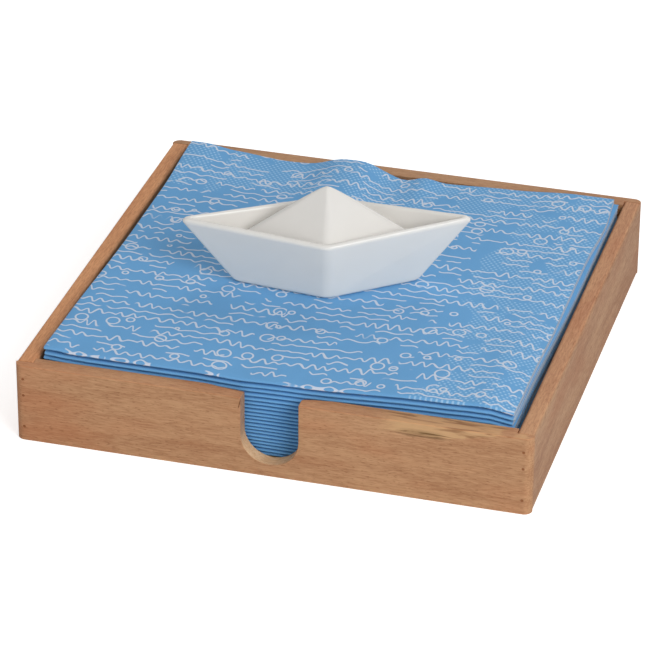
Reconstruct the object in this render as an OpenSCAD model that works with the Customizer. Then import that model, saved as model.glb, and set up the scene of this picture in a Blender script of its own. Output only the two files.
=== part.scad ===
// Open wooden tray that holds a pile of paper napkins folded in four. A finger notch in the
// front rail lets the napkins be lifted, and a glazed porcelain weight in the shape of a
// folded boat lies on top.
// Millimetres, +Z up. Origin: centre of the tray's underside. The notch faces -Y.

/* [Napkins] */
// Side of a napkin folded in four
napkin_w = 167; // [120:1:250]
// How many napkins are in the pile, counting the one on top
napkin_count = 20; // [4:1:30]
// Thickness of the lowest folded napkin, pressed by the pile
napkin_low_t = 1.38; // [1:0.02:1.6]
// Thickness of the top folded napkin, which lies loose
napkin_top_t = 2.1; // [1.6:0.05:3]
// How far a napkin lies out of line with the pile
napkin_stray = 0.3; // [0:0.1:1]

/* [Top napkin] */
// Height of the buckle that runs to the back edge of the top napkin
buckle_h = 3.4; // [0:0.2:8]
// Half width of that buckle
buckle_w = 13; // [6:1:25]
// Place of that buckle, left or right of the middle
buckle_x = -17; // [-50:1:50]
// Where the buckle starts, in front of the back edge
buckle_len = 62; // [30:1:70]
// How far the back edge draws in beside the buckle
buckle_tuck = 3; // [0:0.5:6]
// Place where the back edge draws in, left or right of the middle
tuck_x = 2.5; // [-50:0.5:50]
// Half width of the drawn-in edge
tuck_w = 6.5; // [5:0.5:20]

/* [Tray] */
// Gap left between the pile and the rails
pile_gap = 3.2; // [1.5:0.1:8]
// Height of the rails
tray_h = 30; // [20:1:60]
// Thickness of the four rails
rail_t = 6.3; // [5.5:0.1:14]
// Wood left outside each side rail's end, in the corner rebates
tongue_t = 3; // [2:0.5:4]
// Radius of the tray's four upright corners
corner_r = 3; // [1:0.5:5]
// Radius of the rails' eased long edges
edge_r = 1.2; // [0.4:0.1:2]

/* [Base panel] */
// Thickness of the base panel
base_t = 3; // [2:0.5:6]
// How far the base panel is let into each rail
base_let_in = 3.5; // [2.5:0.5:4.5]
// Play between the base panel's edge and its rebate
base_play = 0.1; // [0.05:0.05:0.5]

/* [Finger notch] */
// Width of the notch
notch_w = 21; // [14:1:50]
// Wood left between the base panel and the lowest point of the notch
notch_sill = 1.7; // [1:0.1:6]
// Radius of the eased corners at the notch's mouth
notch_ease = 1.2; // [0.4:0.1:3]

/* [Brads] */
// Diameter of the brads and panel pins
brad_d = 1.2; // [0.8:0.1:1.8]
// Length of a corner brad
brad_len = 18; // [10:1:30]
// Length of a panel pin
pin_len = 12; // [8:1:14]
// How deep the heads are punched below the surface
brad_set = 0.5; // [0.2:0.1:1]
// Play of a brad in its hole
brad_play = 0.02; // [0.01:0.01:0.05]
// Distance from the lowest and the highest brad of a corner to the rail's edges
brad_edge = 5.5; // [4:0.5:9]
// Height of a corner's middle brad, as a share of the rail's height
brad_middle = 0.6; // [0.4:0.02:0.65]
// Distance between the two panel pins of a rail
pin_pitch = 100; // [40:1:110]

/* [Boat] */
// Length from tip to tip at the rim
boat_len = 106; // [70:1:140]
// Width at the middle of the rim
boat_w = 41; // [30:1:60]
// Length of the flat bottom
bottom_len = 66; // [40:1:90]
// Width of the flat bottom
bottom_w = 29; // [20:1:40]
// Height of the rim at its middle
rim_h = 24.2; // [16:0.2:30]
// How much higher the rim's tips are
tip_rise = 1.6; // [0:0.1:4]
// Thickness of the rim's wall
wall_t = 2.8; // [2:0.1:4]
// Radius of the hull's corners at the two tips
tip_r = 1.6; // [1.2:0.1:2.2]
// Radius of the hull's soft corners at the middle of its sides
side_r = 6; // [4:0.5:8]
// Radius of the edge round the flat bottom
foot_r = 1.5; // [0.8:0.1:2]
// Height of the peak above the flat bottom
peak_h = 38; // [30:0.5:50]
// Radius of the peak's rounded top
peak_r = 1.2; // [0.6:0.1:2]
// Fall of the peak's two long ridges, as height over length
ridge_fall = 0.66; // [0.6:0.01:0.75]
// Fall of the peak's two side ridges, as height over length
flank_fall = 0.95; // [0.9:0.01:1.1]
// Radius of the long ridges
ridge_r = 2; // [1:0.1:2.5]
// Radius of the side ridges
flank_r = 4; // [2:0.1:5]
// Thickness of the porcelain under the wells
floor_t = 8; // [3:0.5:12]
// Turn of the boat on the pile, in degrees
boat_turn = 16.7; // [-45:0.1:45]
// Place of the boat's middle, left or right of the pile's middle
boat_x = -3; // [-20:0.5:20]
// Place of the boat's middle, in front of or behind the pile's middle
boat_y = -9.3; // [-20:0.1:20]

/* [Hidden] */
$fn = 48;
// Play between bodies that lie on each other
rest_play = 0.1;
// Overrun of a cutting shape past the surface that it cuts
over = 1;
// Steps round each corner of the boat's sections
corner_steps = 5;
// How much further a wall's inner face stands in at the tips than at the middle
tip_inset = 1.5;

wood = [0.70, 0.53, 0.39];
plywood = [0.80, 0.66, 0.49];
steel = [0.42, 0.40, 0.38];
paper_blue = [0.40, 0.64, 0.86];
paper_shade = [0.30, 0.54, 0.78];
porcelain = [0.93, 0.93, 0.92];

// The tray's inside is the pile and its gap, and the outside adds the rails
inside = napkin_w + 2 * pile_gap;
outside = inside + 2 * rail_t;
half = outside / 2;
corner = min(corner_r, rail_t);
ease = min(edge_r, rail_t / 3);
panel_w = inside + 2 * base_let_in;
notch_r = notch_w / 2;
notch_low = base_t + notch_sill;
brad_r = brad_d / 2;
hole_r = brad_r + brad_play;
rim_r = wall_t / 2;
rim_share = 1 - rim_r / rim_h;
brad_heights = [brad_edge, tray_h * brad_middle, tray_h - brad_edge];

// The top of napkin number i. The pile's weight presses the lower ones flat: a napkin's extra
// thickness grows with the fourth power of its place, so their sum grows with the fifth
function pile_top(i) = base_t + rest_play + napkin_low_t * i
    + (napkin_top_t - napkin_low_t) * napkin_count / 5 * pow(i / napkin_count, 5);
stack_top = pile_top(napkin_count - 1);
top_t = pile_top(napkin_count) - stack_top;
pile_h = stack_top + rest_play + top_t;

function napkin_name(i) = str("napkin_", i < 10 ? "0" : "", i);

// ---------- the wooden tray ----------

// Cross section of a rail with its four edges eased
module rail_section() {
    translate([ease, 0]) square([rail_t - 2 * ease, tray_h]);
    translate([0, ease]) square([rail_t, tray_h - 2 * ease]);
    for (x = [ease, rail_t - ease], z = [ease, tray_h - ease])
        translate([x, z]) circle(ease);
}

// The tray's outline from above, with its corners rounded
module tray_plan() {
    square([outside - 2 * corner, outside], center = true);
    square([outside, outside - 2 * corner], center = true);
    for (x = [-1, 1], y = [-1, 1])
        translate([x * (half - corner), y * (half - corner)]) circle(corner);
}

// The space that the base panel fills, seen from below, a play wider all round
module base_rebate() {
    side = panel_w + 2 * base_play;
    translate([-side / 2, -side / 2, -over]) cube([side, side, base_t + over]);
}

// A full-width rail at the front, with a rebate at each end for the side rails
module end_rail() {
    difference() {
        intersection() {
            translate([-half, -half, 0]) rotate([90, 0, 90])
                linear_extrude(outside) rail_section();
            linear_extrude(tray_h) tray_plan();
        }
        for (side = [0, 1])
            mirror([side, 0, 0]) translate([half - rail_t, -half + tongue_t, -over])
                cube([rail_t + over, rail_t, tray_h + 2 * over]);
        base_rebate();
        corner_holes();
        pin_holes();
    }
}

// The finger notch: a half round with upright walls and eased corners at its mouth
module notch() {
    deep = rail_t + 2 * over;
    mouth = notch_r + notch_ease;
    translate([0, -half + rail_t + over, 0]) rotate([90, 0, 0]) linear_extrude(deep) {
        translate([0, notch_low + notch_r]) circle(notch_r);
        translate([-notch_r, notch_low + notch_r]) square([notch_w, tray_h]);
        difference() {
            translate([-mouth, tray_h - notch_ease]) square([2 * mouth, 2 * notch_ease]);
            for (x = [-1, 1])
                translate([x * mouth, tray_h - notch_ease]) circle(notch_ease);
        }
    }
}

module rail_front() color(wood) difference() {
    end_rail();
    notch();
}

module rail_back() color(wood) rotate([0, 0, 180]) end_rail();

// A side rail, held between the two end rails
module side_rail() {
    length = outside - 2 * tongue_t;
    difference() {
        intersection() {
            translate([-half + rail_t, -length / 2, 0]) rotate([90, 0, 180])
                linear_extrude(length) rail_section();
            linear_extrude(tray_h) tray_plan();
        }
        base_rebate();
        corner_holes();
        pin_holes();
    }
}

module rail_left() color(wood) side_rail();
module rail_right() color(wood) rotate([0, 0, 180]) side_rail();

module base_panel() color(plywood) difference() {
    translate([-panel_w / 2, -panel_w / 2, 0]) cube([panel_w, panel_w, base_t]);
    pin_holes();
}

// Places the children at every corner brad, with +Z along the brad into the wood
module at_corner_brads() {
    for (turn = [0, 180], side = [-1, 1], z = brad_heights)
        rotate([0, 0, turn]) translate([side * (half - rail_t / 2), -half, z])
            rotate([-90, 0, 0]) children();
}

// Places the children at every panel pin, with +Z along the pin into the wood
module at_panel_pins() {
    for (turn = [0, 90, 180, 270], x = [-pin_pitch / 2, pin_pitch / 2])
        rotate([0, 0, turn]) translate([x, -panel_w / 2 + base_let_in / 2, 0]) children();
}

module corner_holes() at_corner_brads()
    translate([0, 0, -over]) cylinder(r = hole_r, h = brad_set + brad_len + over);
module pin_holes() at_panel_pins()
    translate([0, 0, -over]) cylinder(r = hole_r, h = brad_set + pin_len + over);

module corner_brads() color(steel) at_corner_brads()
    translate([0, 0, brad_set]) cylinder(r = brad_r, h = brad_len);
module panel_pins() color(steel) at_panel_pins()
    translate([0, 0, brad_set]) cylinder(r = brad_r, h = pin_len);

// ---------- the napkins ----------

// One napkin folded in four, lying flat: folds at the front and left, open behind and right
module folded_napkin(t) {
    fold = t / 2;
    edge = -napkin_w / 2 + fold;
    flat = napkin_w - fold;
    translate([edge, edge, 0]) cube([flat, flat, t]);
    translate([edge, edge, fold]) rotate([0, 90, 0]) cylinder(r = fold, h = flat);
    translate([edge, edge, fold]) rotate([-90, 0, 0]) cylinder(r = fold, h = flat);
    translate([edge, edge, fold]) sphere(fold);
}

module napkin(i) color(i % 2 == 0 ? paper_blue : paper_shade) {
    low = pile_top(i - 1);
    stray = [napkin_stray * sin(i * 137), napkin_stray * cos(i * 101)];
    translate([stray[0], stray[1], low]) folded_napkin(pile_top(i) - low);
}

// How far the top napkin lifts off the pile at a point, with its back edge at y = half side
function rise(y) = let (s = min(1, max(0, (y - napkin_w / 2 + buckle_len) / buckle_len)))
    s * s * (3 - 2 * s);
function swell(x, wide) = exp(-pow(x / wide, 2));
function lift(x, y) = buckle_h * rise(y) * swell(x - buckle_x, buckle_w);
// How far the back edge draws in beside the buckle
function tuck(x, y) = buckle_tuck * rise(y) * swell(x - tuck_x, tuck_w);
// Half thickness at a distance in from a fold of radius r
function nose(in, r) = in >= r ? r : sqrt(max(0.01, 1 - pow(1 - in / r, 2))) * r;

// Number of the point on the lower (0) or upper (1) skin of a sheet of n by n points
function grid_at(n, up, i, j) = (up * n + j) * n + i;

module top_napkin() color(paper_blue) {
    fold = top_t / 2;
    side = napkin_w / 2;
    steps = 22;
    // lines across the sheet: close together at the fold, evenly spaced after it
    lines = concat([0, 0.3 * fold, fold],
        [for (i = [1:steps]) fold + (2 * side - fold) * i / steps]);
    n = len(lines);
    sheet = [for (up = [-1, 1], v = lines, u = lines)
        let (x = u - side, y = v - side)
        [x, y - tuck(x, y), stack_top + rest_play + fold + lift(x, y)
            + up * min(nose(u, fold), nose(v, fold))]];
    skins = [for (j = [0:n - 2], i = [0:n - 2], k = [0, 1])
        let (a = grid_at(n, 0, i, j), b = a + 1, c = a + n, d = c + 1)
        k == 0 ? [a, b, c] : [b, d, c]];
    tops = [for (f = skins) [f[0] + n * n, f[2] + n * n, f[1] + n * n]];
    // the rim runs once round the sheet and joins the two skins
    rim = concat([for (i = [0:n - 2]) [i, 0]], [for (j = [0:n - 2]) [n - 1, j]],
        [for (i = [n - 1:-1:1]) [i, n - 1]], [for (j = [n - 1:-1:1]) [0, j]]);
    m = len(rim);
    walls = [for (k = [0:m - 1], half_face = [0, 1])
        let (p = rim[k], q = rim[(k + 1) % m])
        let (a = grid_at(n, 0, p[0], p[1]), b = grid_at(n, 0, q[0], q[1]), up = n * n)
        half_face == 0 ? [a, a + up, b] : [a + up, b + up, b]];
    polyhedron(sheet, concat(skins, tops, walls));
}

// ---------- the porcelain boat ----------

// A rhombus with rounded corners: half length a, half width b, and the radii at its tips and
// at its two middle corners, with n steps round each corner
function rhombus(a, b, ra, rb, n) =
    let (ca = a - ra, cb = b - rb,
         lean = atan2(cb, -ca) - acos((ra - rb) / norm([ca, cb])))
    concat(
        [for (i = [0:n]) let (t = -lean + 2 * lean * i / n)
            [ca + ra * cos(t), ra * sin(t)]],
        [for (i = [0:n]) let (t = lean + (180 - 2 * lean) * i / n)
            [rb * cos(t), cb + rb * sin(t)]],
        [for (i = [0:n]) let (t = 180 - lean + 2 * lean * i / n)
            [-ca + ra * cos(t), ra * sin(t)]],
        [for (i = [0:n]) let (t = 180 + lean + (180 - 2 * lean) * i / n)
            [rb * cos(t), -cb + rb * sin(t)]]);

// A solid lofted through rings of [a, b, ra, rb, z, rise at the tips], from the lowest up
module loft(rings, n) {
    m = 4 * (n + 1);
    last = len(rings) - 1;
    points = [for (r = rings, p = rhombus(r[0], r[1], r[2], r[3], n))
        [p[0], p[1], r[4] + r[5] * abs(p[0]) / r[0]]];
    ends = [[0, 0, rings[0][4]], [0, 0, rings[last][4]]];
    low = len(points);
    sides = [for (k = [0:last - 1], i = [0:m - 1], half_face = [0, 1])
        let (a = k * m + i, b = k * m + (i + 1) % m, c = a + m, d = b + m)
        half_face == 0 ? [a, c, b] : [b, c, d]];
    caps = [for (i = [0:m - 1], end = [0, 1])
        let (a = i, b = (i + 1) % m)
        end == 0 ? [low, a, b] : [low + 1, last * m + b, last * m + a]];
    polyhedron(concat(points, ends), concat(sides, caps));
}

// Section of the hull at a share s of its height: 0 at the bottom, 1 at the rim
function hull_ring(s, inset, ra, rb, z, tips) = [
    bottom_len / 2 + (boat_len - bottom_len) / 2 * s - tip_inset * inset,
    bottom_w / 2 + (boat_w - bottom_w) / 2 * s - inset, ra, rb, z, tips];

// The outside of the hull, its bottom edge and its rim rounded
module hull_outside() {
    bottom = [for (t = [0:30:90])
        let (z = foot_r * (1 - cos(t)))
        hull_ring(z / rim_h, foot_r * (1 - sin(t)), tip_r, side_r, z, tip_rise * z / rim_h)];
    top = [for (t = [0:30:90])
        let (z = rim_h - rim_r * (1 - sin(t)))
        hull_ring(rim_share, rim_r * (1 - cos(t)), tip_r, side_r, z, tip_rise * z / rim_h)];
    loft(concat(bottom, top), corner_steps);
}

// The hollow in the hull, from its floor to past the rim, with the rim's inner edge rounded
module hull_hollow() {
    body = [for (z = [floor_t, rim_h - rim_r])
        hull_ring(z / rim_h, wall_t, tip_r / 2, side_r - rim_r, z, tip_rise * z / rim_h)];
    lip = [for (t = [30:30:90])
        let (z = rim_h - rim_r * (1 - sin(t)))
        hull_ring(rim_share, rim_r * (1 + cos(t)), tip_r / 2, side_r - rim_r, z,
            tip_rise * z / rim_h)];
    past = [hull_ring(rim_share, rim_r, tip_r, side_r, rim_h + over, tip_rise)];
    loft(concat(body, lip, past), corner_steps);
}

// The folded peak: a rounded pyramid whose ridges fall to the tips and to the sides
module peak() {
    // the rings stand closer together towards the top, where the peak rounds over
    rings = [for (k = [0:6])
        let (s = (peak_h - foot_r) * pow(0.55, k))
        [s / ridge_fall, s / flank_fall, min(ridge_r, s / 4), min(flank_r, s / 4),
            peak_h + peak_r - norm([s, peak_r]), 0]];
    point = [[0.02, 0.01, 0.002, 0.002, peak_h, 0]];
    intersection() {
        loft(concat(rings, point), corner_steps);
        hull_outside_tall();
    }
}

// The hull's outline carried straight up, which keeps the peak inside the hull
module hull_outside_tall() {
    loft([hull_ring(0, foot_r, tip_r, side_r, foot_r / 3, 0),
          hull_ring(1, rim_r, tip_r, side_r, rim_h, 0),
          hull_ring(1, rim_r, tip_r, side_r, peak_h + over, 0)], corner_steps);
}

module boat_weight() color(porcelain)
    translate([boat_x, boat_y, pile_h + rest_play]) rotate([0, 0, boat_turn]) union() {
        difference() {
            hull_outside();
            hull_hollow();
        }
        peak();
    }

rail_front();
rail_back();
rail_left();
rail_right();
base_panel();
corner_brads();
panel_pins();
for (i = [1:napkin_count - 1])
    napkin(i);
top_napkin();
boat_weight();
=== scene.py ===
# Wooden napkin tray with a finger notch, a pile of blue paper napkins folded in four, and a
# porcelain weight in the shape of a folded boat. Metres, +Z up, the notch faces -Y.
import math

import bpy
import bmesh
import numpy as np
from mathutils import Matrix, Vector, noise


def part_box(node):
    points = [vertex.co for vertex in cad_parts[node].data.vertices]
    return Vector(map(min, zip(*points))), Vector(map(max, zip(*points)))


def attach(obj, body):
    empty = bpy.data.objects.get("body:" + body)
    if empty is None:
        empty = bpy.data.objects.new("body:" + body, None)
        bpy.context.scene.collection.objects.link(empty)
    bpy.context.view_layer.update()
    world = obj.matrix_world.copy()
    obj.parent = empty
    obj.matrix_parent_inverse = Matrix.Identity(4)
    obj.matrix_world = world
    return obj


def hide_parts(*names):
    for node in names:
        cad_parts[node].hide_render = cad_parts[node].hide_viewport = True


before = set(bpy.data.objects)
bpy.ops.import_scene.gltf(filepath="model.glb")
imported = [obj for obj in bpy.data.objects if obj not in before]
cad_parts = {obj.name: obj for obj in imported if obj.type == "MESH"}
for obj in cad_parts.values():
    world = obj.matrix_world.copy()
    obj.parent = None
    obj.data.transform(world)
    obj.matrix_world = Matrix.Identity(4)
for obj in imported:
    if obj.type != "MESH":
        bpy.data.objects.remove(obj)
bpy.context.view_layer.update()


# ---------- camera, floor and lamps ----------
# A long lens from the front, a little to the right and about 29 degrees up, as the photograph
# was taken. The floor is pale. Three soft lamps stand high at the right, low in front and behind.

MM = 0.001
target = Vector((-10.69, 17.09, 0)) * MM
azimuth, elevation, roll = (math.radians(a) for a in (15.47, 28.94, 0.37))
distance = 1397.2 * MM
picture_width = 650     # in pixels
focal = 3747.7          # in the same pixels

back = Vector((math.sin(azimuth) * math.cos(elevation),
               -math.cos(azimuth) * math.cos(elevation), math.sin(elevation)))
right = (-back).cross(Vector((0, 0, 1))).normalized()
up = right.cross(-back)
turned = right * math.cos(roll) + up * math.sin(roll)
upright = up * math.cos(roll) - right * math.sin(roll)

camera = bpy.data.objects.new("camera", bpy.data.cameras.new("camera"))
bpy.context.scene.collection.objects.link(camera)
camera.data.sensor_width = 36
camera.data.lens = focal / picture_width * camera.data.sensor_width
camera.data.clip_start, camera.data.clip_end = 0.05, 50
facing = Matrix((turned, upright, back)).transposed().to_4x4()
camera.matrix_world = Matrix.Translation(target + back * distance) @ facing
bpy.context.scene.camera = camera
bpy.context.scene.view_settings.view_transform = "Standard"


def srgb(red, green, blue):
    """A colour read on screen, 0 to 255 each, as the linear values that a shader takes."""
    share = [c / 255 for c in (red, green, blue)]
    return tuple(c / 12.92 if c < 0.04045 else ((c + 0.055) / 1.055) ** 2.4 for c in share) + (1,)


def add(tree, kind, inputs={}, **settings):
    """Adds a shader node. A socket given as an input is linked, and any other value is set."""
    made = tree.nodes.new("ShaderNode" + kind)
    for name, value in settings.items():
        setattr(made, name, value)
    for name, value in inputs.items():
        if isinstance(value, bpy.types.NodeSocket):
            tree.links.new(value, made.inputs[name])
        else:
            made.inputs[name].default_value = value
    return made


def calc(tree, operation, *values):
    """A Math node's result for one, two or three values or sockets."""
    return add(tree, "Math", dict(enumerate(values)), operation=operation).outputs[0]


def ramp(tree, value, low, high):
    """0 below low, 1 above high and smooth between them. low may be the higher of the two."""
    return add(tree, "MapRange", {"Value": value, "From Min": low, "From Max": high},
               interpolation_type="SMOOTHSTEP").outputs["Result"]


def tint(tree, share, first, second, blend="MIX"):
    """Mixes two colours by a share, or lays the second over the first by a blend."""
    mixer = add(tree, "Mix", data_type="RGBA", blend_type=blend)
    for socket, value in zip((mixer.inputs[0], mixer.inputs[6], mixer.inputs[7]),
                             (share, first, second)):
        if isinstance(value, bpy.types.NodeSocket):
            tree.links.new(value, socket)
        else:
            socket.default_value = value
    return mixer.outputs[2]


def new_material(name):
    """An empty material with its Principled shader joined to the output."""
    made = bpy.data.materials.new(name)
    made.use_nodes = True
    return made, made.node_tree, made.node_tree.nodes["Principled BSDF"]


world = bpy.data.worlds.new("studio")
bpy.context.scene.world = world
world.use_nodes = True
sky = world.node_tree
path = add(sky, "LightPath")
seen = calc(sky, "MAXIMUM", path.outputs["Is Camera Ray"],
            calc(sky, "MAXIMUM", path.outputs["Is Glossy Ray"],
                 path.outputs["Is Transmission Ray"]))
soft_fill = 0.35        # strength of the room's light; what the camera sees is plain white
sky.nodes["Background"].inputs["Color"].default_value = (1, 1, 1, 1)
strength = calc(sky, "ADD", calc(sky, "MULTIPLY", seen, 1 - soft_fill), soft_fill)
sky.links.new(strength, sky.nodes["Background"].inputs["Strength"])

floor_half = 3.0
floor_glow = 0.6        # added for the camera alone, so that the lit floor reads white
floor_mesh = bpy.data.meshes.new("floor")
floor_mesh.from_pydata([(x, y, 0) for y in (-floor_half, floor_half)
                        for x in (-floor_half, floor_half)], [], [(0, 1, 3, 2)])
floor = bpy.data.objects.new("floor", floor_mesh)
bpy.context.scene.collection.objects.link(floor)
paper, tree, shader = new_material("floor paper")
shader.inputs["Base Color"].default_value = srgb(236, 236, 236)
shader.inputs["Roughness"].default_value = 0.9
shader.inputs["Specular IOR Level"].default_value = 0.1
path = add(tree, "LightPath")
shader.inputs["Emission Color"].default_value = (1, 1, 1, 1)
tree.links.new(calc(tree, "MULTIPLY", path.outputs["Is Camera Ray"], floor_glow),
               shader.inputs["Emission Strength"])
floor_mesh.materials.append(paper)


lamp_width = 0.9
tray_middle = Vector((0, 0, 0.03))


def lamp(name, place, watts):
    """A square soft lamp that faces the tray."""
    data = bpy.data.lights.new(name, "AREA")
    data.size, data.energy = lamp_width, watts
    made = bpy.data.objects.new(name, data)
    made.location = place
    made.rotation_mode = "QUATERNION"
    made.rotation_quaternion = (Vector(place) - tray_middle).to_track_quat("Z", "Y")
    bpy.context.scene.collection.objects.link(made)


lamp("main lamp", (1.15, -1.0, 1.0), 17)
lamp("low lamp in front", (0.1, -1.7, 0.35), 4.6)
lamp("lamp behind", (0.2, 1.4, 1.2), 6.3)


# ---------- the rails ----------
# Four rails of a fine, pinkish-tan hardwood, 30 by 6.3 mm, planed, sanded and oiled. The side
# rails are let into rebates in the ends of the front and back rails, glued and nailed. The
# front rail has a finger notch with a half-round floor, cut before the tray was put together.

rail_low, rail_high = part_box("rail_front")
tray_half = rail_high.x / MM
tray_height = rail_high.z / MM
rail_thick = (rail_high.y - rail_low.y) / MM
inner_face = tray_half - rail_thick
tongue = 3.0            # wood left outside a side rail's end
corner_round = 3.0
panel_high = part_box("base_panel")[1]
panel_play = 0.1        # between the base panel and its rebate
rebate_half = panel_high.x / MM + panel_play
rebate_height = panel_high.z / MM
joint_round = 0.3       # radius of the edges at the joints
over = 1.0              # how far a cutting shape stands out of the piece


def loft(name, rings, turn=Matrix.Identity(4)):
    """A solid through outlines in millimetres, each at its height along Z, and then turned."""
    shape = bmesh.new()
    loops = [[shape.verts.new(Vector((x, y, z)) * MM) for x, y in outline]
             for z, outline in rings]
    for low, high in zip(loops, loops[1:]):
        for i in range(len(low)):
            shape.faces.new((low[i - 1], low[i], high[i], high[i - 1]))
    shape.faces.new(loops[0][::-1])
    shape.faces.new(loops[-1])
    shape.transform(turn)
    if shape.calc_volume(signed=True) < 0:
        bmesh.ops.reverse_faces(shape, faces=shape.faces)
    mesh = bpy.data.meshes.new(name)
    shape.to_mesh(mesh)
    shape.free()
    made = bpy.data.objects.new(name, mesh)
    bpy.context.scene.collection.objects.link(made)
    return made


def solid(name, outline, low, high, turn=Matrix.Identity(4)):
    """A prism of an outline, from low to high along Z, and then turned."""
    return loft(name, [(low, outline), (high, outline)], turn)


def apply_steps(piece):
    """Applies the piece's modifiers to its mesh."""
    depsgraph = bpy.context.evaluated_depsgraph_get()
    depsgraph.update()
    mesh = bpy.data.meshes.new_from_object(piece.evaluated_get(depsgraph))
    piece.modifiers.clear()
    piece.data = mesh


def cut_away(piece, *tools):
    """Takes the tools' shapes out of the piece and deletes them."""
    for tool in tools:
        step = piece.modifiers.new("cut", "BOOLEAN")
        step.operation, step.solver, step.object = "DIFFERENCE", "MANIFOLD", tool
        apply_steps(piece)
        bpy.data.objects.remove(tool)


def box_outline(x0, y0, x1, y1):
    """The corners of a rectangle, in order."""
    return [(x0, y0), (x1, y0), (x1, y1), (x0, y1)]


def round_edges(piece, along, radius):
    """Rounds the long edges of a rail well and the edges at its joints a little. The edges that
    run along an axis at the top or underside, and are over 20 mm long, are the long ones."""
    shape = bmesh.new()
    shape.from_mesh(piece.data)
    weight = shape.edges.layers.float.new("bevel_weight_edge")
    hair = 0.01
    for edge in shape.edges:
        if len(edge.link_faces) != 2 or edge.calc_face_angle(0) < math.radians(30):
            continue
        a, b = (v.co / MM for v in edge.verts)
        long_edge = abs((a - b).normalized()[along]) > 1 - hair and (a - b).length > 20
        at_rim = all(min(abs(p.z), abs(p.z - tray_height)) < hair for p in (a, b))
        edge[weight] = 1 if long_edge and at_rim else joint_round / radius
    shape.to_mesh(piece.data)
    shape.free()
    step = piece.modifiers.new("round", "BEVEL")
    step.width, step.segments, step.limit_method = radius * MM, 4, "WEIGHT"
    apply_steps(piece)


def quarter(cx, cy, radius, start, steps=8):
    """Points round a quarter of a circle, from a start angle in degrees."""
    return [(cx + radius * math.cos(math.radians(start + 90 * i / steps)),
             cy + radius * math.sin(math.radians(start + 90 * i / steps)))
            for i in range(steps + 1)]


def end_rail(name):
    """The front rail before its notch is cut: full width, with a rebate at each end for a side
    rail, and one along its underside for the base panel."""
    centre, end, inner = tray_half - corner_round, tray_half - tongue, inner_face
    outline = (quarter(-centre, -centre, corner_round, 180)
               + quarter(centre, -centre, corner_round, 270)
               + [(inner, -end), (inner, -inner), (-inner, -inner), (-inner, -end)])
    made = solid(name, outline, 0, tray_height)
    cut_away(made, solid("rebate", box_outline(-rebate_half, -rebate_half, rebate_half, 0),
                         -over, rebate_height))
    return made


def side_rail(name, front_gap, back_gap):
    """The left rail. The wood has shrunk, so its ends stand a hair short of the rebates."""
    end = tray_half - tongue
    made = solid(name, box_outline(-tray_half, front_gap - end, -inner_face, end - back_gap),
                 0, tray_height)
    cut_away(made, solid("rebate", box_outline(-rebate_half, -rebate_half, 0, rebate_half),
                         -over, rebate_height))
    return made


front_rail = end_rail("front_rail")
back_rail = end_rail("back_rail")
left_rail = side_rail("left_rail", front_gap=0.45, back_gap=0.1)
right_rail = side_rail("right_rail", front_gap=0.1, back_gap=0.3)
half_turn = Matrix.Rotation(math.pi, 4, "Z")
for rail in (back_rail, right_rail):
    rail.data.transform(half_turn)
round_edges(front_rail, along=0, radius=0.9)
round_edges(back_rail, along=0, radius=1.3)
for rail in (left_rail, right_rail):
    round_edges(rail, along=1, radius=1.2)

# The top edge next to the napkins is sanded down at the notch: places along the rail and
# depths, and how far the slope runs forward for each millimetre of depth
sanding = ((-24, 0.05), (-20, 0.5), (-16, 0.75), (-12, 1.1), (-9, 1.3), (9, 1.1), (12.5, 0.75),
           (14, 0.5), (18, 0.3), (21, 0.05))
sanding_run = 2.6
rings = [(x, [(-tray_height - over, over - inner_face), (deep - tray_height, -inner_face),
              (-tray_height, -sanding_run * deep - inner_face),
              (-tray_height - over, -sanding_run * deep - inner_face)]) for x, deep in sanding]
cut_away(front_rail, loft("sanding", rings, Matrix.Rotation(math.radians(90), 4, "Y")))

notch_half, notch_floor = 10.4, 4.7
notch_ease = 0.3        # radius of the corners at the notch's mouth
back_flare, front_flare = 1.0, 0.35     # radius of the notch's edges inside and in front


def notch_outline(flare):
    """The finger notch seen from the front, wider by a flare all round."""
    half, ease = notch_half + flare, notch_ease
    arc = [(half * math.cos(a), notch_floor + notch_half + half * math.sin(a))
           for a in (math.radians(180 + 180 * i / 40) for i in range(41))]
    mouth = half + ease
    lip = [(mouth - ease * math.sin(a), tray_height - ease + ease * math.cos(a))
           for a in (math.radians(90 * (1 - i / 6)) for i in range(7))]
    return (arc + lip + [(mouth, tray_height + over), (-mouth, tray_height + over)]
            + [(-x, z) for x, z in reversed(lip)])


def flares(radius):
    """Depths below a face of the rail, and how much wider the notch is there. The first is
    outside the wood."""
    outside = 0.2
    steps = [math.radians(30 * i) for i in (1, 2, 3)]
    return [(-outside, radius)] + [(radius * (1 - math.cos(t)), radius * (1 - math.sin(t)))
                                   for t in steps]


# The notch is cut after the rounding, by a shape that flares at both faces and so eases the
# edges, a little in front and more inside
upright_turn = Matrix.Rotation(math.radians(90), 4, "X")
rings = [(inner_face + depth, notch_outline(wider)) for depth, wider in flares(back_flare)]
rings += [(tray_half - depth, notch_outline(wider)) for depth, wider in flares(front_flare)[::-1]]
cut_away(front_rail, loft("notch", rings, upright_turn))

# Each brad's head is punched below the face, and its hole is stopped with filler
brad_hole, filler_depth = 0.55, 0.08
brad_heights = (5.5, 18, 24.5)
circle = [(brad_hole * math.cos(math.radians(30 * i)), brad_hole * math.sin(math.radians(30 * i)))
          for i in range(12)]
for rail, ahead in ((front_rail, 1), (back_rail, -1)):
    for x in (-tray_half + rail_thick / 2, tray_half - rail_thick / 2):
        for z in brad_heights:
            place = Matrix.Translation(Vector((x, -ahead * tray_half, z)) * MM)
            cut_away(rail, solid("hole", circle, -filler_depth, filler_depth,
                                 place @ upright_turn))


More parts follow.
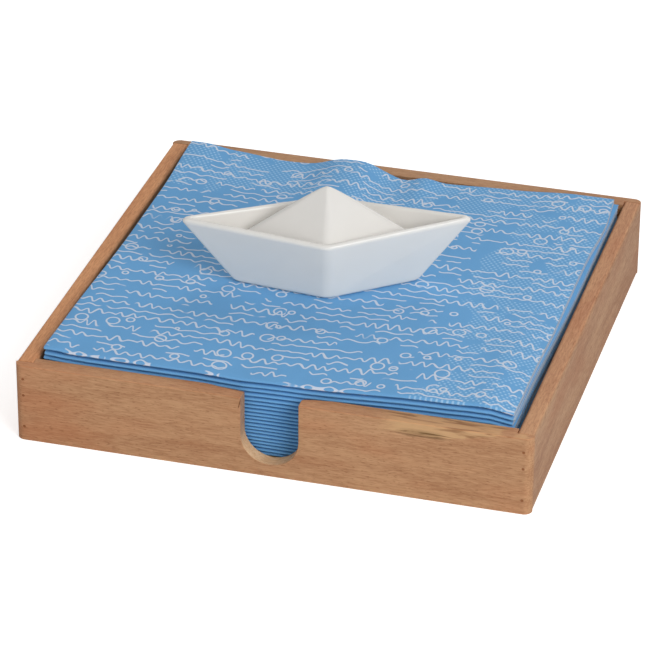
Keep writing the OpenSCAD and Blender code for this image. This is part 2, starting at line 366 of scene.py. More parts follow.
def wood_grain():
    """Fine straight grain along X, in metres: short dark pores, broad figure and warm patches."""
    tree = bpy.data.node_groups.new("wood grain", "ShaderNodeTree")
    for name, kind in (("Vector", "Vector"), ("Pale", "Color"), ("Deep", "Color"),
                       ("Warm", "Color"), ("Pores", "Float")):
        tree.interface.new_socket(name, in_out="INPUT", socket_type="NodeSocket" + kind)
    for name, kind in (("Color", "Color"), ("Roughness", "Float"), ("Height", "Float")):
        tree.interface.new_socket(name, in_out="OUTPUT", socket_type="NodeSocket" + kind)
    given, result = tree.nodes.new("NodeGroupInput"), tree.nodes.new("NodeGroupOutput")

    def stretched(along, across, detail=2.0, distortion=0.0):
        """Noise with so many waves in a metre along the grain and across it."""
        vector = add(tree, "Mapping", {"Vector": given.outputs["Vector"],
                                       "Scale": (along, across, across)}).outputs[0]
        return add(tree, "TexNoise", {"Vector": vector, "Scale": 1, "Detail": detail,
                                      "Distortion": distortion}).outputs["Fac"]

    figure = stretched(16, 170, 4, 0.6)
    fibre = stretched(240, 1900, 3)
    patch = ramp(tree, stretched(22, 60, 2), 0.48, 0.75)
    pores = calc(tree, "MULTIPLY", ramp(tree, stretched(520, 2600, 2), 0.57, 0.70),
                 given.outputs["Pores"])
    share = calc(tree, "MULTIPLY_ADD", fibre, 0.55, calc(tree, "MULTIPLY", figure, 0.5))
    body = tint(tree, ramp(tree, share, 0.34, 0.72), given.outputs["Pale"],
                given.outputs["Deep"])
    body = tint(tree, calc(tree, "MULTIPLY", patch, 0.35), body, given.outputs["Warm"])
    body = tint(tree, pores, body, (0.42, 0.3, 0.22, 1), "MULTIPLY")
    tree.links.new(body, result.inputs["Color"])
    tree.links.new(calc(tree, "MULTIPLY_ADD", fibre, 0.18, 0.5), result.inputs["Roughness"])
    tree.links.new(calc(tree, "SUBTRACT", calc(tree, "MULTIPLY", fibre, 0.5), pores),
                   result.inputs["Height"])
    return tree


grain = wood_grain()


def wood(name, pale, deep, warm, turn, shift, pores=0.4):
    """Oiled wood with its grain along X, or along Y where turn is 90 degrees. A shift takes it
    from another part of the board, and pores is how dark its pores are."""
    made, tree, shader = new_material(name)
    place = add(tree, "TexCoord").outputs["Object"]
    place = add(tree, "Mapping", {"Vector": place, "Rotation": (0, 0, math.radians(turn)),
                                  "Location": shift}).outputs[0]
    group = tree.nodes.new("ShaderNodeGroup")
    group.node_tree = grain
    tree.links.new(place, group.inputs["Vector"])
    for socket, value in (("Pale", pale), ("Deep", deep), ("Warm", warm), ("Pores", pores)):
        group.inputs[socket].default_value = value
    bump = add(tree, "Bump", {"Height": group.outputs["Height"], "Strength": 0.35,
                              "Distance": 0.00012})
    tree.links.new(group.outputs["Color"], shader.inputs["Base Color"])
    tree.links.new(group.outputs["Roughness"], shader.inputs["Roughness"])
    tree.links.new(bump.outputs[0], shader.inputs["Normal"])
    shader.inputs["Specular IOR Level"].default_value = 0.15
    return made, tree, shader, group


def toned(tree, shader, share, factor):
    """Multiplies a wood's base colour by a factor, by a share."""
    below = shader.inputs["Base Color"].links[0].from_socket
    tree.links.new(tint(tree, share, below, factor + (1,), "MULTIPLY"),
                   shader.inputs["Base Color"])


def between(tree, value, low, high, blur):
    """1 between low and high and 0 outside, with soft ends of a width."""
    return calc(tree, "MULTIPLY", ramp(tree, value, low - blur, low),
                ramp(tree, value, high + blur, high))


tan, brown, red = srgb(196, 152, 114), srgb(168, 122, 88), srgb(188, 118, 80)
front_wood, tree, shader, group = wood("front rail wood", tan, brown, red, turn=0,
                                       shift=(0.3, 0.1, 0.02))
# A strip of pale sapwood with dark streaks runs along the top edge of the front rail's right
# end. Its lower edge wavers and climbs
strip_start, strip_full = 0.036, 0.047
strip_low, strip_waver, strip_climb = 0.0217, 0.007, 0.0043
at = add(tree, "TexCoord").outputs["Object"]
place = add(tree, "SeparateXYZ", {"Vector": at})
wander = add(tree, "TexNoise", {"Vector": at, "Scale": 55, "Detail": 3}).outputs["Fac"]
lower = calc(tree, "MULTIPLY_ADD", ramp(tree, place.outputs["X"], 0.055, 0.088), strip_climb,
             calc(tree, "MULTIPLY_ADD", wander, strip_waver, strip_low))
band = calc(tree, "MULTIPLY", ramp(tree, calc(tree, "SUBTRACT", place.outputs["Z"], lower),
                                   -0.0002, 0.0005),
            ramp(tree, place.outputs["X"], strip_start, strip_full))
streak_at = add(tree, "Mapping", {"Vector": at, "Scale": (50, 420, 520)}).outputs[0]
streaks = ramp(tree, add(tree, "TexNoise", {"Vector": streak_at, "Scale": 1, "Detail": 3,
                                            "Distortion": 1.2}).outputs["Fac"], 0.5, 0.66)
sapwood = tint(tree, calc(tree, "MULTIPLY", streaks, 0.75), srgb(206, 166, 122),
               srgb(128, 88, 58))
tree.links.new(tint(tree, calc(tree, "MULTIPLY", band, 0.8), group.outputs["Color"], sapwood),
               shader.inputs["Base Color"])
# A dark knot lies where the strip starts
knot_x, knot_z, knot_length, knot_height = 0.053, 0.0262, 0.0105, 0.0023
along = calc(tree, "DIVIDE", calc(tree, "SUBTRACT", place.outputs["X"], knot_x), knot_length)
above = calc(tree, "DIVIDE", calc(tree, "SUBTRACT", place.outputs["Z"], knot_z), knot_height)
away = calc(tree, "ADD", calc(tree, "MULTIPLY", along, along),
            calc(tree, "MULTIPLY", above, above))
ragged = calc(tree, "MULTIPLY_ADD", streaks, -0.7,
              calc(tree, "MULTIPLY_ADD", wander, 2.2, away))
toned(tree, shader, ramp(tree, ragged, 1.9, 0.7), (0.48, 0.47, 0.42))
# A short crack runs down from the notch's corner, on the line x = lean z + start
crack_lean, crack_start, crack_width = 0.23, -0.01705, 0.0002
crack_low, crack_high = 0.0262, 0.0292
line = calc(tree, "MULTIPLY_ADD", place.outputs["Z"], crack_lean, crack_start)
crack = calc(tree, "MULTIPLY",
             between(tree, calc(tree, "SUBTRACT", place.outputs["X"], line), 0, crack_width,
                     crack_width),
             between(tree, place.outputs["Z"], crack_low, crack_high, 4 * crack_width))
toned(tree, shader, crack, (0.42, 0.36, 0.32))
# Painted light: the front rail's top is a little lighter than its face
painted_light_starts, painted_light_full = 0.0293, 0.0298
toned(tree, shader, ramp(tree, place.outputs["Z"], painted_light_starts, painted_light_full), (1.12, 1.04, 1.0))
back_wood = wood("back rail wood", tan, brown, red, turn=0, shift=(0.7, 0.4, 0.05))[0]
left_wood = wood("left rail wood", srgb(230, 168, 120), srgb(198, 134, 91), red, turn=90,
                 shift=(0.2, 0.9, 0.3))[0]
right_wood, tree, shader = wood("right rail wood", srgb(209, 158, 118), srgb(176, 122, 89), red,
                                turn=90, shift=(0.5, 0.2, 0.7))[:3]
# Painted shade: the right rail's outer face is greyer and darker than its top
place = add(tree, "SeparateXYZ", {"Vector": add(tree, "TexCoord").outputs["Object"]})
painted_shade_outer = ramp(tree, place.outputs["X"], tray_half * MM - 0.0008, tray_half * MM - 0.0002)
toned(tree, shader, painted_shade_outer, (0.76, 0.84, 0.92))
# The notch's walls get a paler wood as painted light, and painted shade darkens them from
# a height upwards
painted_shade_starts, painted_shade_full = 0.009, 0.020
# the paler colours are painted light on the cut walls
notch_wood_painted_light_and_shade, tree, shader = wood("notch wood", srgb(240, 201, 158), srgb(213, 166, 122), tan,
                                turn=0, shift=(0.4, 0.3, 0.1))[:3]
place = add(tree, "SeparateXYZ", {"Vector": add(tree, "TexCoord").outputs["Object"]})
# painted shade on the notch's upper walls
toned(tree, shader, ramp(tree, place.outputs["Z"], painted_shade_starts, painted_shade_full), (0.54, 0.50, 0.55))
filler = wood("filler", srgb(150, 92, 58), srgb(122, 74, 48), brown, turn=0, shift=(0, 0, 0),
              pores=0.0)[0]

for rail, node, finish in ((front_rail, "rail_front", front_wood),
                           (back_rail, "rail_back", back_wood),
                           (left_rail, "rail_left", left_wood),
                           (right_rail, "rail_right", right_wood)):
    rail.data.materials.clear()
    for surface in (finish, filler, notch_wood_painted_light_and_shade):
        rail.data.materials.append(surface)
    hair = 0.01
    for face in rail.data.polygons:
        x, y, z = face.center / MM
        in_hole = abs(abs(y) - (tray_half - filler_depth)) < 0.1 * hair
        in_notch = (rail == front_rail and abs(x) <= notch_half + hair
                    and z >= notch_floor - hair and abs(face.normal.y) < 0.3)
        face.material_index = 1 if in_hole else 2 if in_notch else 0
    rail.data.shade_smooth()
    rail.data.set_sharp_from_angle(angle=math.radians(32))
    rail.modifiers.new("flat faces", "WEIGHTED_NORMAL").keep_sharp = True
    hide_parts(node)
    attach(rail, "tray")


# ---------- the base panel ----------
# A sheet of 3 mm plywood, let into the rails from below and held by eight pins. Its underside
# is bare, with a plainer and paler grain than the rails.

plywood = wood("plywood", srgb(214, 184, 146), srgb(190, 154, 114), srgb(200, 160, 118),
               turn=90, shift=(0.1, 0.6, 0.2), pores=0.2)[0]
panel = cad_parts["base_panel"]
panel.data.materials.clear()
panel.data.materials.append(plywood)


# ---------- the brads and panel pins ----------
# Thin steel nails with small heads, punched below the surface, dull and a little rusty.

steel, tree, shader = new_material("nail steel")
spots = add(tree, "TexNoise", {"Vector": add(tree, "TexCoord").outputs["Object"],
                               "Scale": 2500, "Detail": 2}).outputs["Fac"]
tree.links.new(tint(tree, ramp(tree, spots, 0.4, 0.7), srgb(168, 120, 84), srgb(132, 88, 58)),
               shader.inputs["Base Color"])
tree.links.new(calc(tree, "MULTIPLY_ADD", spots, 0.4, 0.35), shader.inputs["Roughness"])
shader.inputs["Metallic"].default_value = 0.3
for name in ("corner_brads", "panel_pins"):
    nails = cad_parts[name]
    nails.data.materials.clear()
    nails.data.materials.append(steel)


# ---------- the pile of napkins ----------
# Three-ply tissue napkins, 33 by 33 cm, printed blue on one side and folded in four: one fold
# along the front and two, one on the other, along the left. The pile lies loose in the tray.

ply = 0.30              # thickness of the three plies together
napkin_side = 167.0
slack = 0.02            # air between one napkin and the next
fold_press = 0.38       # share of a napkin's thickness that is lost at its front fold
press_starts, press_full = 60, 78       # how far in front of the middle


def smooth(value, low, high):
    """0 below low, 1 above high and smooth between them, for arrays."""
    share = np.clip((value - low) / (high - low), 0, 1)
    return share * share * (3 - 2 * share)


def hump(value, middle, width):
    """1 in the middle and falling off smoothly to 0 over about two widths, for arrays."""
    return np.exp(-((value - middle) / width) ** 2)


def bend(run, out, radius):
    """A strip bent double about run = 0: how far in from the bend it lies, and how high."""
    quarter_arc = radius * math.pi / 2
    angle = np.clip(run / radius, -math.pi / 2, math.pi / 2)
    return (radius - (radius + out) * np.cos(angle) + np.maximum(np.abs(run) - quarter_arc, 0),
            (radius + out) * np.sin(angle))


def spread(radius, side, step):
    """Distances along a half sheet from its fold: close together round the bend."""
    arc = radius * math.pi / 2
    rest = side - radius - ply / 2 if side else 0
    count = max(2, round(rest / step))
    half = np.concatenate((np.linspace(0, arc, 5), arc + rest * np.arange(1, count + 1) / count))
    return np.concatenate((-half[:0:-1], half))


def folded_sheet(name, low, thick, step, settle_to):
    """A sheet folded in four between two heights. Its front fold is pressed thinner than the
    rest, and settle_to moves its points into place."""
    gap = (thick - slack - ply) / 3
    first = spread(gap / 2, napkin_side, step)
    second = spread(gap, napkin_side - gap / 2, step)
    across, along = np.meshgrid(first, second)
    skins = []
    for out in (ply / 2, -ply / 2):
        x, height = bend(across, out, gap / 2)
        y, z = bend(along, height, gap)
        x = x - napkin_side / 2 + ply / 2
        y = y - napkin_side / 2 + (gap + ply) / 2
        z = z * (1 - fold_press * smooth(-y, press_starts, press_full)) + low + thick / 2
        skins.append(settle_to(x, y, z, across, along))
    rows, columns = across.shape
    points = np.concatenate([s.reshape(-1, 3) for s in skins]) * MM
    count = rows * columns
    faces, kinds = [], []
    for j in range(rows - 1):
        for i in range(columns - 1):
            a = j * columns + i
            faces.append((a, a + 1, a + columns + 1, a + columns))
            faces.append(tuple(count + k for k in (a + columns, a + columns + 1, a + 1, a)))
            kinds += [0, 1]
    rim = ([i for i in range(columns)]
           + [j * columns + columns - 1 for j in range(1, rows)]
           + [(rows - 1) * columns + i for i in range(columns - 2, -1, -1)]
           + [j * columns for j in range(rows - 2, 0, -1)])
    for a, b in zip(rim, rim[1:] + rim[:1]):
        faces.append((b, a, a + count, b + count))
        kinds.append(2)
    mesh = bpy.data.meshes.new(name)
    mesh.from_pydata([tuple(p) for p in points], [], faces)
    mesh.polygons.foreach_set("material_index", kinds)
    mesh.shade_smooth()
    mesh.set_sharp_from_angle(angle=math.radians(60))
    made = bpy.data.objects.new(name, mesh)
    bpy.context.scene.collection.objects.link(made)
    flat = (2 * first[-1] * MM, 2 * second[-1] * MM)
    return made, flat


def ripple(x, y, seed, size):
    """Smooth noise from -1 to 1 over the pile, with waves of about a size in millimetres."""
    flat = [noise.noise((a / size, b / size, seed)) for a, b in zip(x.ravel(), y.ravel())]
    return np.array(flat).reshape(x.shape)


pile_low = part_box("napkin_01")[0].z / MM
pile_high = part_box("napkin_19")[1].z / MM
# How much higher or lower the pile's top lies, in millimetres
open_front, open_corner, front_dip, fold_swell = 1.75, 0.6, 0.6, 0.8
edge_press, back_sink, back_crease = 1.6, 1.4, 0.4


def settled(x, y, z, share):
    """The pile is fuller at its right front, where its leaves have opened, and swells where the
    two folds cross. It sinks along its right and back edges, where it has no folds. The numbers
    are places along X and Y, in millimetres."""
    full = open_front * smooth(x, 8, 56) + open_corner * hump(x, 72, 6)
    full -= front_dip * hump(x, -13, 9)
    swell = fold_swell * smooth(-x, 73, 79) * smooth(-y, 60, 80)
    sunk = edge_press * smooth(x, 74, 90) * smooth(-y, -60, 60)
    thin = back_sink * smooth(x, -72, -42) * (1 - smooth(x, 46, 70)) * smooth(y, 30, 84)
    crease = back_crease * hump(x, 2.5, 5) * smooth(y, 30, 84)
    return z + share * (full * smooth(-y, 5, 75) + swell - sunk - thin - crease)


def drawn_aside(x, y, right_edge):
    """How far a napkin lies out of the tray's middle along X and Y. Its left fold is a little
    bowed, its open right edge lies as far out as is asked, and its front leans on the rail."""
    left_edge = 1.9 * smooth(y, -70, 10) - 0.5 * smooth(y, 40, 80) - 1.2
    forward = (1.6 - 0.9 * smooth(x, 10, 80)) * smooth(-y, -20, 60)
    return left_edge + (right_edge - left_edge) * smooth(x, -60, 84), -forward


stray_x, stray_y = 0.25, 0.12           # how far a napkin may lie astray
leaf_spread, fold_waver = 0.35, 0.08    # how uneven its open leaves and its front fold are


def in_pile(number):
    """How a napkin lies in the pile: a little astray, with its open leaves spread unevenly."""
    stray = (stray_x * math.sin(number * 2.4), stray_y * math.cos(number * 1.76))

    def place(x, y, z, across, along):
        """Moves the napkin's points to where they lie."""
        share = (z - pile_low) / (pile_high - pile_low)
        leaf = leaf_spread * np.sin(number * 2.1 + 1.7 * np.sign(across)
                                    + 3.1 * smooth(along, -30, 30))
        z = settled(x, y, z, share)
        wave = fold_waver * ripple(x, y, number * 0.37, 20) * smooth(-y, 70, 82)
        aside, ahead = drawn_aside(x, y, 0.5 + 1.2 * smooth(y, -60, 20) + leaf)
        y = y + stray[1] + wave - (0.3 - leaf) * smooth(y, 0, 80)
        return np.stack((x + stray[0] + aside, y + ahead, z), -1)
    return place


def tissue():
    """Crepe of tissue paper: fine wrinkles and a faint cloudiness, over metres."""
    tree = bpy.data.node_groups.new("tissue", "ShaderNodeTree")
    for name, kind in (("Vector", "Vector"), ("Color", "Color")):
        tree.interface.new_socket(name, in_out="INPUT", socket_type="NodeSocket" + kind)
    for name, kind in (("Color", "Color"), ("Height", "Float")):
        tree.interface.new_socket(name, in_out="OUTPUT", socket_type="NodeSocket" + kind)
    given, result = tree.nodes.new("NodeGroupInput"), tree.nodes.new("NodeGroupOutput")
    fine = add(tree, "TexNoise", {"Vector": given.outputs["Vector"], "Scale": 2600,
                                  "Detail": 3}).outputs["Fac"]
    cloud = add(tree, "TexNoise", {"Vector": given.outputs["Vector"], "Scale": 60,
                                   "Detail": 3}).outputs["Fac"]
    shade = calc(tree, "MULTIPLY_ADD", fine, 0.10, calc(tree, "MULTIPLY_ADD", cloud, 0.12, 0.89))
    lit = add(tree, "Mix", {0: 1.0}, data_type="RGBA", blend_type="MULTIPLY")
    tree.links.new(given.outputs["Color"], lit.inputs[6])
    tree.links.new(shade, lit.inputs[7])
    tree.links.new(lit.outputs[2], result.inputs["Color"])
    tree.links.new(fine, result.inputs["Height"])
    return tree


crepe = tissue()


def paper_finish(name, colour):
    """Matt tissue paper of one colour, with its crepe."""
    made, tree, shader = new_material(name)
    group = tree.nodes.new("ShaderNodeGroup")
    group.node_tree = crepe
    tree.links.new(add(tree, "TexCoord").outputs["Object"], group.inputs["Vector"])
    group.inputs["Color"].default_value = colour
    bump = add(tree, "Bump", {"Height": group.outputs["Height"], "Strength": 0.3,
                              "Distance": 0.0001})
    tree.links.new(group.outputs["Color"], shader.inputs["Base Color"])
    tree.links.new(bump.outputs[0], shader.inputs["Normal"])
    shader.inputs["Roughness"].default_value = 0.85
    shader.inputs["Specular IOR Level"].default_value = 0.15
    return made, tree, shader, group, bump


blue = srgb(112, 171, 221)
printed = paper_finish("printed side", blue)[0]
reverse = paper_finish("reverse side", srgb(168, 188, 208))[0]
cut_edge = paper_finish("cut edge", srgb(196, 204, 214))[0]

for number in range(1, 20):
    node = f"napkin_{number:02d}"
    low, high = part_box(node)
    napkin, flat = folded_sheet(f"folded_napkin_{number:02d}", low.z / MM,
                                (high.z - low.z) / MM, step=8, settle_to=in_pile(number))
    for finish in (printed, reverse, cut_edge):
        napkin.data.materials.append(finish)
    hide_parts(node)
    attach(napkin, "pile")


# ---------- the loose napkin on top ----------
# The same kind of napkin, laid on the pile with a buckle that runs to its back edge. Its print
# is small waves and rings drawn in white, and a band of embossed dots runs along the two edges
# where its leaves are open.

air = 0.1               # left under the loose napkin, and over it
top_low = pile_high + air
top_thick = (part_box("boat_weight")[0].z / MM - air) - top_low
buckle_x, buckle_left, buckle_right = -18, 12.0, 10.5   # its ridge, and its width to each side
buckle_rise, left_rise, small_rise = 3.7, 1.5, 1.7
tuck_x, tuck_left, tuck_right = 4, 7.0, 30.0    # where the buckle has drawn the back edge in
tuck_deep, left_tuck = 3.6, 0.8


def on_top(x, y, z, across, along):
    """Lays the top napkin on the pile and raises the buckle at its back edge, the back left
    corner and a small buckle beside the big one. The paper's back edge is drawn in by them."""
    back_rise = smooth(y, 12, 84)
    side = np.where(x < buckle_x, buckle_left, buckle_right)
    ridge = buckle_rise * np.exp(-np.abs((x - buckle_x) / side) ** 3) * back_rise
    ridge += left_rise * smooth(-x, 66, 78) * smooth(y, 50, 84)
    ridge += small_rise * hump(x, 11, 5) * smooth(y, 60, 84)
    tuck = tuck_deep * hump(x, tuck_x, np.where(x < tuck_x, tuck_left, tuck_right)) * back_rise
    tuck += left_tuck * hump(x, -46, 12) * smooth(y, 40, 84)
    sway = 0.15 * ripple(x, y, 7.3, 26)
    wave = 0.12 * ripple(x, y, 3.1, 16) * smooth(-y, 70, 82)
    hem = (0.7 + smooth(y, 30, 56) - 1.3 * smooth(y, 60, 84) + 0.3 * ripple(x, y, 5.7, 22))
    aside, ahead = drawn_aside(x, y, hem)
    z = settled(x, y, z, 1.0) + ridge + sway * smooth(np.abs(x) + np.abs(y), 20, 70)
    return np.stack((x + aside, y - tuck + wave + ahead, z), -1)


loose_napkin, flat = folded_sheet("loose_napkin", top_low, top_thick, step=2.5,
                                  settle_to=on_top)


def in_millimetres(tree):
    """A point on the sheet in millimetres. Height counts as depth, so that a pattern on the
    top runs on round the front fold."""
    place = add(tree, "SeparateXYZ", {"Vector": add(tree, "TexCoord").outputs["Object"]})
    deep = calc(tree, "SUBTRACT", place.outputs["Y"], place.outputs["Z"])
    return add(tree, "VectorMath", {0: add(tree, "CombineXYZ", {
        "X": place.outputs["X"], "Y": deep}).outputs[0], "Scale": 1 / MM},
        operation="SCALE").outputs["Vector"]


def wave_print():
    """White hand-drawn ripples in broken rows, with rings scattered between them. Lengths are
    in millimetres."""
    stroke_edge, stroke_core = 0.46, 0.26       # half a stroke's width, and where it is full
    ring_cell, ring_least, ring_more = 11, 0.7, 1.9     # a ring's field, and its radius
    tree = bpy.data.node_groups.new("wave print", "ShaderNodeTree")
    tree.interface.new_socket("Vector", in_out="INPUT", socket_type="NodeSocketVector")
    tree.interface.new_socket("Mask", in_out="OUTPUT", socket_type="NodeSocketFloat")
    given, result = tree.nodes.new("NodeGroupInput"), tree.nodes.new("NodeGroupOutput")
    place = add(tree, "SeparateXYZ", {"Vector": given.outputs["Vector"]})
    x, y = place.outputs["X"], place.outputs["Y"]

    def wobble(x, row, length):
        """Noise from 0 to 1 along a row, with waves of about a length."""
        vector = add(tree, "CombineXYZ", {"X": calc(tree, "DIVIDE", x, length), "Y": row})
        return add(tree, "TexNoise", {"Vector": vector.outputs[0], "Scale": 1,
                                      "Detail": 1}).outputs["Fac"]

    def ripples(pitch, offset, length, height, keep):
        """Rows of wavy strokes: their pitch and offset, their waves' length and height, and
        how much of a row stays undrawn."""
        lifted = calc(tree, "DIVIDE", calc(tree, "ADD", y, offset), pitch)
        row = calc(tree, "FLOOR", lifted)
        above = calc(tree, "MULTIPLY", calc(tree, "SUBTRACT", calc(tree, "FRACT", lifted), 0.5),
                     pitch)
        shifted = calc(tree, "MULTIPLY_ADD", row, 41.7, x)
        far_row = calc(tree, "MULTIPLY_ADD", row, 7.31, offset)
        drift = calc(tree, "MULTIPLY_ADD", wobble(shifted, far_row, 22), 2.4, -1.2)
        tall = calc(tree, "MULTIPLY", ramp(tree, wobble(shifted, calc(
            tree, "ADD", far_row, 3.3), 9), 0.25, 0.75), height)
        phase = calc(tree, "MULTIPLY_ADD", wobble(shifted, calc(tree, "ADD", far_row, 5.7), 8),
                     7.0, calc(tree, "MULTIPLY", shifted, 2 * math.pi / length))
        curve = calc(tree, "MULTIPLY_ADD", calc(tree, "SINE", phase), tall, drift)
        slope = calc(tree, "MULTIPLY", calc(tree, "COSINE", phase),
                     calc(tree, "MULTIPLY", tall, 2 * math.pi / length))
        steep = calc(tree, "SQRT", calc(tree, "MULTIPLY_ADD", slope, slope, 1.0))
        away = calc(tree, "DIVIDE", calc(tree, "ABSOLUTE", calc(tree, "SUBTRACT", above, curve)),
                    steep)
        drawn = ramp(tree, wobble(shifted, calc(tree, "ADD", far_row, 1.9), 13),
                     keep, keep + 0.02)
        return calc(tree, "MULTIPLY", ramp(tree, away, stroke_edge, stroke_core), drawn)

    first = ripples(pitch=8.4, offset=0.0, length=4.4, height=1.9, keep=0.4)
    second = ripples(pitch=8.4, offset=4.0, length=7.5, height=1.1, keep=0.5)
    cells = add(tree, "TexVoronoi", {"Vector": given.outputs["Vector"], "Scale": 1 / ring_cell},
                voronoi_dimensions="2D")
    chance = add(tree, "SeparateColor", {"Color": cells.outputs["Color"]})
    radius = calc(tree, "MULTIPLY_ADD", chance.outputs["Red"], ring_more, ring_least)
    reach = calc(tree, "MULTIPLY", cells.outputs["Distance"], ring_cell)
    ring = ramp(tree, calc(tree, "ABSOLUTE", calc(tree, "SUBTRACT", reach, radius)), 0.42, 0.24)
    ring = calc(tree, "MULTIPLY", ring, calc(tree, "GREATER_THAN", chance.outputs["Green"], 0.5))
    mask = calc(tree, "MAXIMUM", calc(tree, "MAXIMUM", first, second), ring)
    tree.links.new(mask, result.inputs["Mask"])
    return tree


def dot_emboss():
    """Fine embossed dots in a band along the open edges, with plain patches between them."""
    dot_edge, dot_core = 0.62, 0.25     # a dot's radius, and where it is full
    tree = bpy.data.node_groups.new("dot emboss", "ShaderNodeTree")
    tree.interface.new_socket("Vector", in_out="INPUT", socket_type="NodeSocketVector")
    tree.interface.new_socket("Mask", in_out="OUTPUT", socket_type="NodeSocketFloat")
    given, result = tree.nodes.new("NodeGroupInput"), tree.nodes.new("NodeGroupOutput")
    place = add(tree, "SeparateXYZ", {"Vector": given.outputs["Vector"]})
    # distance in from the right edge and from the back edge, whichever is nearer. The paper's
    # height is already taken off Y, so the back edge lies at 50 and not at 84
    right_edge, back_edge = 83.5, 50.0
    inward = calc(tree, "MINIMUM", calc(tree, "SUBTRACT", right_edge, place.outputs["X"]),
                  calc(tree, "SUBTRACT", back_edge, place.outputs["Y"]))
    swing = add(tree, "TexNoise", {"Vector": given.outputs["Vector"], "Scale": 0.055,
                                   "Detail": 1}).outputs["Fac"]
    band = ramp(tree, calc(tree, "MULTIPLY_ADD", swing, 46, calc(tree, "MULTIPLY", inward, -1)),
                -8, -6)
    cells = (("X", 1.9), ("Y", 2.7))

    def nearest(shift):
        """The distance to the nearest dot of a lattice, shifted by a share of a cell."""
        sides = [calc(tree, "MULTIPLY", cell, calc(tree, "PINGPONG", calc(
            tree, "ADD", calc(tree, "DIVIDE", place.outputs[axis], cell), shift), 0.5))
            for axis, cell in cells]
        return calc(tree, "SQRT", calc(tree, "MULTIPLY_ADD", sides[0], sides[0],
                                       calc(tree, "MULTIPLY", sides[1], sides[1])))

    dots = calc(tree, "MINIMUM", nearest(0.0), nearest(0.5))
    plain = ramp(tree, add(tree, "TexNoise", {"Vector": given.outputs["Vector"], "Scale": 0.11,
                                              "Detail": 0}).outputs["Fac"], 0.36, 0.38)
    mask = calc(tree, "MULTIPLY", calc(tree, "MULTIPLY", band, plain),
                ramp(tree, dots, dot_edge, dot_core))
    tree.links.new(mask, result.inputs["Mask"])
    return tree


blue_print, tree, shader, group, bump = paper_finish("printed and embossed side", blue)
on_sheet = in_millimetres(tree)
ink, dots = tree.nodes.new("ShaderNodeGroup"), tree.nodes.new("ShaderNodeGroup")
ink.node_tree, dots.node_tree = wave_print(), dot_emboss()
for pattern in (ink, dots):
    tree.links.new(on_sheet, pattern.inputs["Vector"])
embossed = tint(tree, calc(tree, "MULTIPLY", dots.outputs["Mask"], 0.68),
                group.outputs["Color"], srgb(176, 214, 244))
tree.links.new(tint(tree, calc(tree, "MULTIPLY", ink.outputs["Mask"], 0.85), embossed,
                    srgb(222, 228, 240)), shader.inputs["Base Color"])
raised = calc(tree, "MULTIPLY_ADD", dots.outputs["Mask"], 0.8,
              calc(tree, "MULTIPLY", group.outputs["Height"], 0.5))
tree.links.new(raised, bump.inputs["Height"])
bump.inputs["Distance"].default_value = 0.0002
bump.inputs["Strength"].default_value = 0.4
for finish in (blue_print, reverse, cut_edge):
    loose_napkin.data.materials.append(finish)
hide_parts("top_napkin")
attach(loose_napkin, "top_napkin")


# ---------- the porcelain boat ----------
# One casting of white glazed porcelain: a hull with a flat bottom, a thick soft rim, two wells
# and a folded peak in the middle. Its own weight holds the napkins down.

boat_length, boat_width = 106.0, 41.0
bottom_length, bottom_width = 66.0, 29.0
rim_height, tip_rise, wall = 24.2, 1.6, 2.8
peak_height, well_floor = 38.0, 8.0
tip_round, side_round, foot_round = 1.6, 6.0, 1.5
peak_run, peak_spread, peak_round = 0.66, 0.95, 1.2     # its fall along, across, and its tip
boat_place = Vector((-3, -9.3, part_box("boat_weight")[0].z / MM)) * MM
boat_turn = math.radians(16.7)
glaze_cell = 0.4        # width of the cells from which the glazed surface is built


def rhombus(a, b, tip, side, steps=10):
    """Points round a rhombus with rounded corners, from half its length and half its width."""
    ca, cb = a - tip, b - side
    lean = math.atan2(cb, -ca) - math.acos((tip - side) / math.hypot(ca, cb))
    points = []
    for cx, cy, radius, start, sweep in (
            (ca, 0, tip, -lean, 2 * lean), (0, cb, side, lean, math.pi - 2 * lean),
            (-ca, 0, tip, math.pi - lean, 2 * lean),
            (0, -cb, side, math.pi + lean, math.pi - 2 * lean)):
        points += [(cx + radius * math.cos(start + sweep * i / steps),
                    cy + radius * math.sin(start + sweep * i / steps)) for i in range(steps + 1)]
    return points


def hull_ring(share, inset, tip, side, z, rise):
    """A section of the hull at a share of its height, drawn in by an inset, and by half as
    much again at its tips."""
    a = bottom_length / 2 + (boat_length - bottom_length) / 2 * share - 1.5 * inset
    b = bottom_width / 2 + (boat_width - bottom_width) / 2 * share - inset
    return a, b, tip, side, z, rise


def hull_solid(name, rings):
    """A closed solid through sections, from the lowest to the highest."""
    verts, faces = [], []
    for a, b, tip, side, z, rise in rings:
        for x, y in rhombus(a, b, tip, side):
            verts.append(Vector((x, y, z + rise * abs(x) / a)) * MM)
    count = len(verts) // len(rings)
    for k in range(len(rings) - 1):
        for i in range(count):
            p, q = k * count + i, k * count + (i + 1) % count
            faces.append((p, q, q + count, p + count))
    faces.append(tuple(range(count))[::-1])
    faces.append(tuple(range(len(verts) - count, len(verts))))
    mesh = bpy.data.meshes.new(name)
    mesh.from_pydata(verts, [], faces)
    made = bpy.data.objects.new(name, mesh)
    bpy.context.scene.collection.objects.link(made)
    return made


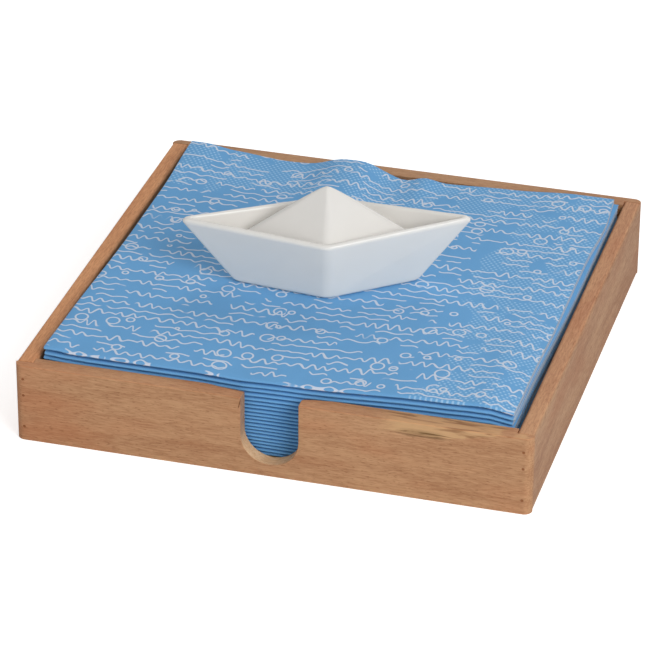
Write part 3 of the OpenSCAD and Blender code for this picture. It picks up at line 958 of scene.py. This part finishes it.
rim_round = wall / 2
rim_share = 1 - rim_round / rim_height
turns = [math.radians(15 * i) for i in range(7)]
outside = [hull_ring(z / rim_height, foot_round * (1 - math.sin(t)), tip_round, side_round, z,
                     tip_rise * z / rim_height)
           for t in turns for z in [foot_round * (1 - math.cos(t))]]
outside += [hull_ring(rim_share, rim_round * (1 - math.cos(t)), tip_round, side_round, z,
                      tip_rise * z / rim_height)
            for t in turns for z in [rim_height - rim_round * (1 - math.sin(t))]]
hollow = [hull_ring(z / rim_height, wall, tip_round / 2, side_round - rim_round, z,
                    tip_rise * z / rim_height) for z in (well_floor, rim_height - rim_round)]
hollow += [hull_ring(rim_share, rim_round * (1 + math.cos(t)), tip_round / 2,
                     side_round - rim_round, z, tip_rise * z / rim_height)
           for t in turns[1:] for z in [rim_height - rim_round * (1 - math.sin(t))]]
hollow.append(hull_ring(rim_share, rim_round, tip_round, side_round, rim_height + over,
                        tip_rise))
boat = hull_solid("porcelain_boat", outside)
cut_away(boat, hull_solid("well", hollow))

# Sections of the peak crowd together towards its tip, each four fifths of the one below
drops = [(peak_height - foot_round) * 0.8 ** k for k in range(20)]
peak = hull_solid("peak", [(s / peak_run, s / peak_spread, min(2.0, s / 4), min(4.0, s / 4),
                            peak_height + peak_round - math.hypot(s, peak_round), 0)
                           for s in drops])
keep = hull_solid("inside of the hull",
                  [hull_ring(0, foot_round, tip_round, side_round, 0.5, 0),
                   hull_ring(1, rim_round, tip_round, side_round, rim_height, 0),
                   hull_ring(1, rim_round, tip_round, side_round, peak_height + over, 0)])
step = peak.modifiers.new("keep", "BOOLEAN")
step.operation, step.solver, step.object = "INTERSECT", "EXACT", keep
apply_steps(peak)
bpy.data.objects.remove(keep)
step = boat.modifiers.new("join", "BOOLEAN")
step.operation, step.solver, step.object = "UNION", "EXACT", peak
apply_steps(boat)
bpy.data.objects.remove(peak)

# The glaze fills the corners and softens every edge
step = boat.modifiers.new("glaze", "REMESH")
step.mode, step.voxel_size, step.use_smooth_shade = "VOXEL", glaze_cell * MM, True
step = boat.modifiers.new("soften", "SMOOTH")
step.factor, step.iterations = 0.5, 5
apply_steps(boat)
boat.data.transform(Matrix.Translation(boat_place) @ Matrix.Rotation(boat_turn, 4, "Z"))

glaze, tree, shader = new_material("white glaze")
cloud = add(tree, "TexNoise", {"Vector": add(tree, "TexCoord").outputs["Object"],
                               "Scale": 90, "Detail": 2}).outputs["Fac"]
tree.links.new(tint(tree, cloud, srgb(232, 229, 224), srgb(227, 224, 219)),
               shader.inputs["Base Color"])
tree.links.new(calc(tree, "MULTIPLY_ADD", cloud, 0.08, 0.2), shader.inputs["Roughness"])
bump = add(tree, "Bump", {"Height": cloud, "Strength": 0.1, "Distance": 0.0004})
tree.links.new(bump.outputs[0], shader.inputs["Normal"])
boat.data.materials.clear()
boat.data.materials.append(glaze)
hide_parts("boat_weight")
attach(boat, "boat")


# ---------- the scene brought up to date ---

bpy.context.view_layer.update()
